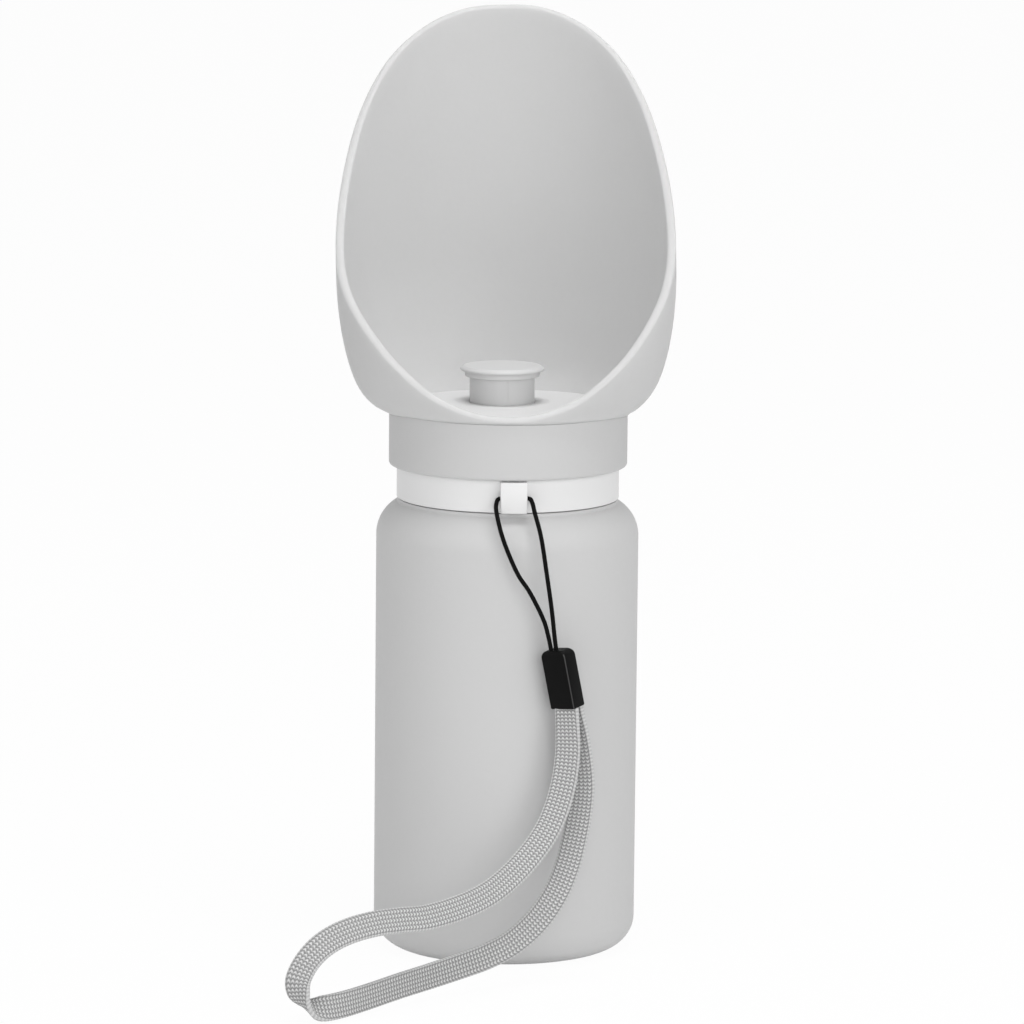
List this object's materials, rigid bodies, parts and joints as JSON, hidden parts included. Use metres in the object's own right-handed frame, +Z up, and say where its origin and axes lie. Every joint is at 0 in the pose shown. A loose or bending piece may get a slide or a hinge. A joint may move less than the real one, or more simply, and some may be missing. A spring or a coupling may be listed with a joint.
{
  "type": "travel water bottle",
  "caption": "Soft squeeze bottle with a screw lid that carries a leaning scoop bowl and a pull-up valve, with a strap ring and wrist loop.",
  "frame": {"origin": "centre of the bottle's flat base, on the axis of the bottle", "axes": "+Z up along the bottle's axis, the open front of the bowl and the strap lug towards -Y"},
  "size_m": [0.1083, 0.1682, 0.27],
  "materials": {
    "soft_grey": "satin",
    "band_grey": "matte",
    "white_plastic": "satin",
    "inner_plastic": "matte",
    "pale_plastic": "matte",
    "bowl_silicone": "matte",
    "seal_rubber": "matte",
    "black_cord": "matte",
    "black_plastic": "satin",
    "grey_webbing": "matte"
  },
  "bodies": {
    "bottle": {"bottle": "soft_grey"},
    "strap": {"strap_ring": "white_plastic", "strap_cord": "black_cord", "strap_crimp": "black_plastic", "strap_webbing": "grey_webbing"},
    "seal": {"lid_gasket": "seal_rubber"},
    "lid": {"lid_shell": "band_grey", "lid_insert": "inner_plastic", "floor_plate": "pale_plastic", "drinking_bowl": "bowl_silicone"},
    "valve": {"valve_plug": "pale_plastic", "plug_o_rings": "seal_rubber", "plug_stop": "white_plastic"}
  },
  "joints": [
    {"name": "ring_swivel", "type": "hinge", "parent": "bottle", "child": "strap", "pos_m": [0, 0, 0.137], "axis": [0, 0, 1], "continuous": true},
    {"name": "lid_rise", "type": "slide", "parent": "bottle", "child": "seal", "axis": [0, 0, 1], "range_m": [0, 0.005]},
    {"name": "lid_turn", "type": "hinge", "parent": "seal", "child": "lid", "pos_m": [0, 0, 0.15], "axis": [0, 0, 1], "range_deg": [0, 450]},
    {"name": "valve_pull", "type": "slide", "parent": "lid", "child": "valve", "axis": [0, 0, 1], "range_m": [0, 0.0085]}
  ],
  "couplings": [
    {"joint": "lid_rise", "follows": "lid_turn", "m_per_rad": 0.00063662}
  ]
}
